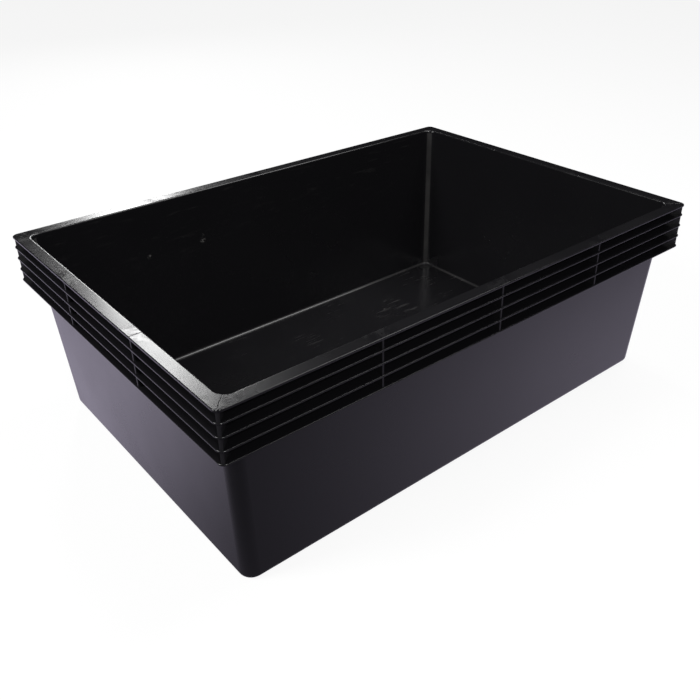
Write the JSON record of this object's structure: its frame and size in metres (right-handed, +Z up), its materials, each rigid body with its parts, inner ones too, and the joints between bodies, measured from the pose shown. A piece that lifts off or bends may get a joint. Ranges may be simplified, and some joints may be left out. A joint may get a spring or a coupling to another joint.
{
  "type": "mortar mixing tub",
  "caption": "Rectangular black plastic mortar mixing tub, a drafted open box with a flat rim flange stiffened by ribs and upright webs.",
  "frame": {"origin": "centre of the flat underside, on the surface that the tub stands on", "axes": "+X along the length, +Y along the width, +Z up out of the mouth; the tub is the same front to back and left to right"},
  "size_m": [1, 0.68, 0.34],
  "materials": {
    "tub_wall_plastic": "satin black moulded polyethylene, fine moulding texture, light scuffs",
    "rim_plastic": "satin black moulded polyethylene with a slight polish on the flange"
  },
  "bodies": {
    "root": {"tub_shell": "tub_wall_plastic", "rim_flange": "rim_plastic", "rim_rib_1": "rim_plastic", "rim_rib_2": "rim_plastic", "rim_rib_3": "rim_plastic", "rim_rib_4": "rim_plastic", "front_web_1": "rim_plastic", "front_web_2": "rim_plastic", "front_web_3": "rim_plastic", "back_web_1": "rim_plastic", "back_web_2": "rim_plastic", "back_web_3": "rim_plastic", "left_web_1": "rim_plastic", "left_web_2": "rim_plastic", "right_web_1": "rim_plastic", "right_web_2": "rim_plastic", "corner_web_front_left": "rim_plastic", "corner_web_front_right": "rim_plastic", "corner_web_back_left": "rim_plastic", "corner_web_back_right": "rim_plastic"}
  },
  "joints": []
}
